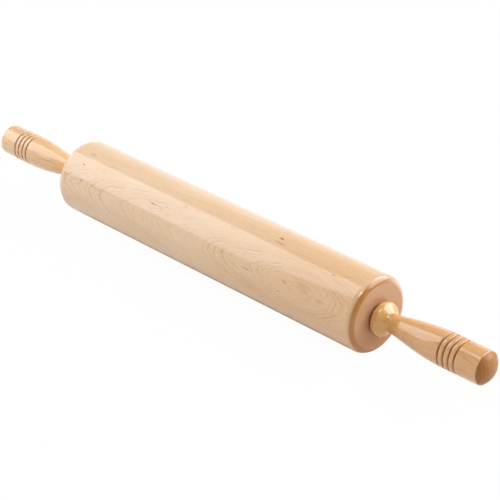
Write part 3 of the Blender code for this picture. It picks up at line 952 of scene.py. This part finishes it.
def spacer_outline():
    length = SPACER_HIGH.x - SPACER_LOW.x
    return chamfered(0.0, length, INNER_BORE_RADIUS, SPACER_RADIUS, SPACER_CHAMFER)


def cage_outline():
    return chamfered(-CAGE_HALF, CAGE_HALF, CAGE_BORE_RADIUS, CAGE_OUTER_RADIUS, CAGE_CHAMFER)


# Geometry Nodes trees

def geometry_tree(name, inputs):
    """An empty tree that takes a geometry, named values, a sharp angle and a finish, and gives a geometry."""
    tree = bpy.data.node_groups.new(name, "GeometryNodeTree")
    inputs = {"Geometry": "Geometry", **inputs, "Sharp Angle": "Float", "Finish": "Material"}
    for socket, kind in inputs.items():
        tree.interface.new_socket(socket, in_out="INPUT", socket_type="NodeSocket" + kind)
    tree.interface.new_socket("Geometry", in_out="OUTPUT", socket_type="NodeSocketGeometry")
    return tree, add(tree, "NodeGroupInput").outputs


def finished(tree, given, geometry):
    """Shades a geometry smooth except at its sharp edges, and ends the tree with its finish."""
    angle = add(tree, "GeometryNodeInputMeshEdgeAngle").outputs["Unsigned Angle"]
    angles = {0: angle, 1: given["Sharp Angle"]}
    crisp = result(tree, "FunctionNodeCompare", angles, data_type="FLOAT", operation="GREATER_THAN")
    faces = {"Geometry": geometry, "Shade Smooth": True}
    smooth = result(tree, "GeometryNodeSetShadeSmooth", faces, domain="FACE")
    edges = {"Geometry": smooth, "Selection": crisp, "Shade Smooth": False}
    edged = result(tree, "GeometryNodeSetShadeSmooth", edges, domain="EDGE")
    real = result(tree, "GeometryNodeRealizeInstances", {0: edged})
    painted = result(tree, "GeometryNodeSetMaterial", {"Geometry": real, "Material": given["Finish"]})
    add(tree, "NodeGroupOutput", {0: painted})
    return tree


def lathe_tree():
    """Turns an outline about the pin's axis. The outline lies in the mesh's XY plane, out from the turning
    radius along X and with its length along -Y, and the tree sweeps it round a circle."""
    inputs = {"Sides": "Int", "Turning Radius": "Float", "Axis Height": "Float"}
    tree, given = geometry_tree("turned on the lathe", inputs)
    outline = result(tree, "GeometryNodeMeshToCurve", {"Mesh": given["Geometry"]})
    size = {"Resolution": given["Sides"], "Radius": given["Turning Radius"]}
    circle = result(tree, "GeometryNodeCurvePrimitiveCircle", size, mode="RADIUS")
    upright = result(tree, "GeometryNodeSetCurveNormal", {"Curve": circle}, mode="Z_UP")
    swept = result(tree, "GeometryNodeCurveToMesh", {"Curve": upright, "Profile Curve": outline})
    laid = result(tree, "GeometryNodeTransform", {
        "Geometry": swept,
        "Translation": result(tree, "ShaderNodeCombineXYZ", {"Z": given["Axis Height"]}),
        "Rotation": (0.0, math.pi / 2, 0.0),
    })
    welded = result(tree, "GeometryNodeMergeByDistance", {"Geometry": laid, "Distance": MERGE_DISTANCE})
    return finished(tree, given, welded)


RING_INPUTS = {"Count": "Int", "Circle Radius": "Float", "Centre": "Vector"}


def set_round(tree, given, piece, **turn):
    """Copies of a piece set round a circle about the axis, with the first at the top."""
    size = {"Vertices": given["Count"], "Radius": given["Circle Radius"]}
    circle = result(tree, "GeometryNodeMeshCircle", size, fill_type="NONE")
    points = result(tree, "GeometryNodeTransform", {"Geometry": circle, "Rotation": (0.0, -math.pi / 2, 0.0)})
    spread = result(tree, "GeometryNodeInstanceOnPoints", {"Points": points, "Instance": piece, **turn})
    real = result(tree, "GeometryNodeRealizeInstances", {0: spread})
    return result(tree, "GeometryNodeTransform", {"Geometry": real, "Translation": given["Centre"]})


def balls_tree():
    """Balls set round a circle about the axis."""
    tree, given = geometry_tree("balls in a ring", {**RING_INPUTS, "Ball Radius": "Float"})
    ball = result(tree, "GeometryNodeMeshUVSphere", {
        "Segments": BALL_SEGMENTS,
        "Rings": BALL_SEGMENTS // 2,
        "Radius": given["Ball Radius"],
    })
    return finished(tree, given, set_round(tree, given, ball))


def pockets_tree():
    """Cuts a round pocket through a ring at each ball's place."""
    inputs = {**RING_INPUTS, "Pocket Radius": "Float", "Depth": "Float"}
    tree, given = geometry_tree("pockets for the balls", inputs)
    peg = result(tree, "GeometryNodeMeshCylinder", {
        "Vertices": BALL_SEGMENTS,
        "Radius": given["Pocket Radius"],
        "Depth": given["Depth"],
    })
    place = result(tree, "GeometryNodeInputPosition", {})
    turn = result(tree, "FunctionNodeAlignRotationToVector", {"Vector": place}, axis="Z")
    pegs = set_round(tree, given, peg, Rotation=turn)
    meshes = {"Mesh 1": given["Geometry"], "Mesh 2": pegs}
    cut = result(tree, "GeometryNodeMeshBoolean", meshes, operation="DIFFERENCE", solver="EXACT")
    return finished(tree, given, cut)


LATHE = lathe_tree()
BALLS = balls_tree()
POCKETS = pockets_tree()


# Pieces

def outline_mesh(name, outline, closed):
    """A wire mesh of an outline, laid out for the lathe tree, with how deep in a groove each point is."""
    mesh = bpy.data.meshes.new(name)
    points = [(point[1] - TURNING_RADIUS, -point[0], 0.0) for point in outline]
    edges = [(number, number + 1) for number in range(len(points) - 1)]
    if closed:
        edges.append((len(points) - 1, 0))
    mesh.from_pydata(points, edges, [])
    depth = mesh.attributes.new("groove", "FLOAT", "POINT")
    depth.data.foreach_set("value", [point[2] if len(point) > 2 else 0.0 for point in outline])
    return mesh


def steps_of(obj, tree, finish, values):
    """Adds a Geometry Nodes modifier and sets its inputs by their identifiers."""
    values = {**values, "Sharp Angle": SHARP_ANGLE, "Finish": finish}
    modifier = obj.modifiers.new(tree.name, "NODES")
    modifier.node_group = tree
    for item in tree.interface.items_tree:
        if item.in_out == "INPUT" and item.name in values:
            modifier[item.identifier] = values[item.name]


def applied(obj):
    """Swaps an object's mesh for what its modifiers make of it."""
    bpy.context.view_layer.update()
    graph = bpy.context.evaluated_depsgraph_get()
    made = bpy.data.meshes.new_from_object(
        obj.evaluated_get(graph), preserve_all_data_layers=True, depsgraph=graph)
    obj.modifiers.clear()
    old = obj.data
    obj.data = made
    made.name = obj.name
    bpy.data.meshes.remove(old)


def volume(mesh):
    """The signed volume of a closed mesh, which is below zero where its faces point inwards."""
    total = 0.0
    mesh.calc_loop_triangles()
    for triangle in mesh.loop_triangles:
        first, second, third = (mesh.vertices[number].co for number in triangle.vertices)
        total += first.dot(second.cross(third)) / 6
    return total


def settled(obj, body, nodes):
    """Makes a piece's mesh final, with its faces outwards, and gives it its body and its nodes."""
    applied(obj)
    if volume(obj.data) < 0:
        obj.data.flip_normals()
    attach(obj, body)
    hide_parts(*nodes)


def new_object(name, data):
    obj = bpy.data.objects.new(name, data)
    bpy.context.scene.collection.objects.link(obj)
    return obj


def turned(name, outline, sides, finish, closed=True):
    """A piece turned about the axis, still with its modifier."""
    obj = new_object(name, outline_mesh(name + "_outline", outline, closed))
    values = {"Sides": sides, "Turning Radius": TURNING_RADIUS, "Axis Height": AXIS_HEIGHT}
    steps_of(obj, LATHE, finish, values)
    return obj


def bearing_values(way):
    """What the trees for the balls and for the cage's pockets both need."""
    centre = (way * BEARING_CENTRE, 0.0, AXIS_HEIGHT)
    return {"Count": BALL_COUNT, "Circle Radius": BALL_CIRCLE_RADIUS, "Centre": centre}


def barrel():
    obj = turned("turned_barrel", barrel_outline(), BARREL_SIDES, barrel_finish())
    settled(obj, "barrel", ["barrel"])


def handle(end, way):
    outline = placed(handle_outline(), HANDLE_BACK, way)
    obj = turned("turned_handle_" + end, outline, HANDLE_SIDES, handle_finish(end, way), closed=False)
    settled(obj, "handles_and_axle", ["handle_" + end])


def rod():
    obj = turned("drawn_axle_rod", rod_outline(), STEEL_SIDES, rod_finish(), closed=False)
    settled(obj, "handles_and_axle", ["axle_rod"])


def spacer(end, way, finish):
    outline = placed(spacer_outline(), SPACER_LOW.x, way)
    obj = turned("spacer_sleeve_" + end, outline, STEEL_SIDES, finish)
    settled(obj, "handles_and_axle", ["spacer_" + end])


def bearing_rings(end, way, finish):
    rings = (
        ("inner", inner_ring_outline(), "handles_and_axle"),
        ("outer", outer_ring_outline(), "barrel"),
    )
    for ring, outline, body in rings:
        outline = placed(outline, BEARING_CENTRE, way)
        obj = turned(f"ground_{ring}_ring_{end}", outline, STEEL_SIDES, finish)
        settled(obj, body, [f"bearing_{ring}_ring_{end}"])


def cage(end, way, finish):
    outline = placed(cage_outline(), BEARING_CENTRE, way)
    obj = turned("brass_cage_" + end, outline, STEEL_SIDES, finish)
    values = bearing_values(way)
    values["Pocket Radius"] = BALL_POCKET_RADIUS
    values["Depth"] = CAGE_OUTER_RADIUS - CAGE_BORE_RADIUS + 2 * CUT_OVERRUN
    steps_of(obj, POCKETS, finish, values)
    settled(obj, "ball_cage_" + end, ["ball_cage_" + end])


def balls(end, way, finish):
    obj = new_object("bearing_balls_" + end, bpy.data.meshes.new("no_outline"))
    values = bearing_values(way)
    values["Ball Radius"] = BALL_RADIUS
    steps_of(obj, BALLS, finish, values)
    nodes = [f"ball_{end}_{number}" for number in range(1, BALL_COUNT + 1)]
    settled(obj, "ball_cage_" + end, nodes)


# The studio

def camera():
    data = bpy.data.cameras.new("camera")
    data.lens = CAMERA_LENS
    data.sensor_width = CAMERA_SENSOR
    data.clip_start = CAMERA_NEAR
    data.clip_end = CAMERA_FAR
    obj = new_object("camera", data)
    obj.location = CAMERA_PLACE
    obj.rotation_euler = (CAMERA_AIM - CAMERA_PLACE).to_track_quat("-Z", "Y").to_euler()
    bpy.context.scene.camera = obj


FLOOR_HALF = 12.0
FLOOR_ALBEDO = 0.9
FLOOR_SHOWN = 0.97
SHADE_REACH = (0.03, 0.14)
SHADE_SHAPE = (0.2, 1, 1)
DARK_SIDE = (55.0, 8.0)
DARK_SIDE_EDGES = (0.4, 0.85)
DARK_SIDE_SHARE = 0.85
WORLD_LEVEL = 0.04
CEILING_LEVEL = 0.3
WALL_TOP = (0.2, 0.55)
FRONT_FLOOR_LEVEL = 0.3
BACK_FLOOR_EDGE = (0.03, 0.3)


def direction(azimuth, elevation):
    """The way to a place round the pin: azimuth 0 is in front of it, at -Y, and 90 is off its right end."""
    turn, rise = math.radians(azimuth), math.radians(elevation)
    return Vector((math.sin(turn) * math.cos(rise), -math.cos(turn) * math.cos(rise), math.sin(rise)))


def lit_share(tree, way):
    """1 towards the white walls, falling towards the dark one, which stands behind the camera."""
    toward_dark = vector_calc(tree, "DOT_PRODUCT", way, direction(*DARK_SIDE))
    return ease(tree, toward_dark, *DARK_SIDE_EDGES, 1.0, 1.0 - DARK_SIDE_SHARE)


def rays(tree):
    """Which rays come from the camera, and which ones show a surface in the lacquer or through it."""
    path = add(tree, "ShaderNodeLightPath").outputs
    return path["Is Camera Ray"], calc(tree, "MAXIMUM", path["Is Glossy Ray"], path["Is Transmission Ray"])


def floor():
    """A white table, which keeps a faint shadow of the pin."""
    mesh = bpy.data.meshes.new("table_top")
    corners = [(-1, -1), (1, -1), (1, 1), (-1, 1)]
    mesh.from_pydata([(FLOOR_HALF * x, FLOOR_HALF * y, 0.0) for x, y in corners], [], [(0, 1, 2, 3)])
    obj = new_object("table_top", mesh)
    grey = (FLOOR_ALBEDO, FLOOR_ALBEDO, FLOOR_ALBEDO, 1)
    material, tree, shader = new_finish(
        "white table", Base_Color=grey, Roughness=0.9, Specular_IOR_Level=0.0)
    place = object_place(tree)
    away = vector_calc(tree, "LENGTH", vector_calc(tree, "MULTIPLY", place, SHADE_SHAPE))
    clear = ease(tree, away, *SHADE_REACH)
    side = lit_share(tree, vector_calc(tree, "NORMALIZE", place))
    behind = add(tree, "ShaderNodeSeparateXYZ", {0: place}).outputs["Y"]
    side = times(tree, side, ease(tree, behind, *BACK_FLOOR_EDGE, FRONT_FLOOR_LEVEL, 1.0))
    seen, glossy = rays(tree)
    glossy = times(tree, glossy, times(tree, clear, side))
    shown = calc(tree, "MAXIMUM", times(tree, seen, FLOOR_SHOWN), glossy)
    white = result(tree, "ShaderNodeEmission", {"Color": (1, 1, 1, 1), "Strength": 1.0})
    mixed = result(tree, "ShaderNodeMixShader", {0: shown, 1: shader.outputs[0], 2: white})
    fill(tree, tree.nodes["Material Output"], {"Surface": mixed})
    mesh.materials.append(material)


def world():
    """A white room with one dark wall and a darker ceiling. It shows in the lacquer but hardly lights it."""
    made = bpy.data.worlds.new("white room")
    made.use_nodes = True
    tree = made.node_tree
    seen, glossy = rays(tree)
    way = add(tree, "ShaderNodeTexCoord").outputs["Generated"]
    height = add(tree, "ShaderNodeSeparateXYZ", {0: way}).outputs["Z"]
    wall = times(tree, ease(tree, height, *WALL_TOP, 1.0, CEILING_LEVEL), lit_share(tree, way))
    level = calc(tree, "MAXIMUM", times(tree, glossy, wall), WORLD_LEVEL)
    level = calc(tree, "MAXIMUM", level, seen)
    fill(tree, tree.nodes["Background"], {"Color": (1, 1, 1, 1), "Strength": level})
    bpy.context.scene.world = made


# Each softbox: azimuth, elevation, distance, how strongly it lights, how bright it looks in the lacquer, and
# its corners as shares of its distance
MAIN_SOFTBOX = {
    "azimuth": -67.0,
    "elevation": 30.0,
    "distance": 2.0,
    "light": 4.1,
    "sheen": 2.9,
    "corners": [
        (-0.56, -0.28), (0.55, -0.28), (0.37, 0.15), (0.05, 0.72),
        (-0.25, 0.72), (-0.29, 0.42), (-0.34, 0.21), (-0.44, 0.0),
    ],
}
BACK_SOFTBOX = {
    "azimuth": 145.0,
    "elevation": 36.0,
    "distance": 2.4,
    "light": 3.5,
    "sheen": 5.6,
    "corners": [(-0.6, -0.4), (0.6, -0.4), (0.6, 0.4), (-0.6, 0.4)],
}

# A small lamp above, which gives the collar and the shoulder their bright spots
TOP_LAMP = {
    "azimuth": 58,
    "elevation": 57,
    "distance": 1.8,
    "width": 0.6,
    "height": 0.45,
    "strength": 10.9,
}


def place_of(box):
    """The way to a light from the middle of the pin, and where the light stands."""
    out = direction(box["azimuth"], box["elevation"])
    return out, out * box["distance"] + Vector((0, 0, AXIS_HEIGHT))


def softbox(name, box):
    """A large soft light that faces the pin and is out of the camera's sight."""
    out, centre = place_of(box)
    side = Vector((0, 0, 1)).cross(out).normalized()
    up = out.cross(side)
    corners = [centre + (side * across + up * rise) * box["distance"] for across, rise in box["corners"]]
    mesh = bpy.data.meshes.new(name)
    mesh.from_pydata(corners, [], [tuple(range(len(corners)))])
    obj = new_object(name, mesh)
    material, tree, _ = new_finish(name + " cloth")
    glossy = add(tree, "ShaderNodeLightPath").outputs["Is Glossy Ray"]
    strength = calc(tree, "MULTIPLY_ADD", glossy, box["sheen"] - box["light"], box["light"])
    glow = result(tree, "ShaderNodeEmission", {"Color": (1, 1, 1, 1), "Strength": strength})
    fill(tree, tree.nodes["Material Output"], {"Surface": glow})
    mesh.materials.append(material)
    obj.visible_camera = False
    obj.visible_shadow = False


def lamp(name, box):
    """A soft lamp that faces the pin. Its strength is how bright its face is, where 1 is white."""
    data = bpy.data.lights.new(name, "AREA")
    data.shape = "RECTANGLE"
    data.size = box["width"]
    data.size_y = box["height"]
    data.energy = box["strength"] * box["width"] * box["height"] * math.pi
    obj = new_object(name, data)
    out, obj.location = place_of(box)
    obj.rotation_euler = (-out).to_track_quat("-Z", "Y").to_euler()


def studio():
    camera()
    floor()
    world()
    softbox("main_softbox", MAIN_SOFTBOX)
    softbox("back_softbox", BACK_SOFTBOX)
    lamp("top_lamp", TOP_LAMP)
    bpy.context.scene.view_settings.view_transform = "Standard"


def pieces():
    barrel()
    rod()
    ring_steel, ball_steel, brass, sleeve_steel = (metal_finish(name, *METALS[name]) for name in METALS)
    for end, way in ENDS.items():
        handle(end, way)
        spacer(end, way, sleeve_steel)
        bearing_rings(end, way, ring_steel)
        cage(end, way, brass)
        balls(end, way, ball_steel)


pieces()
studio()
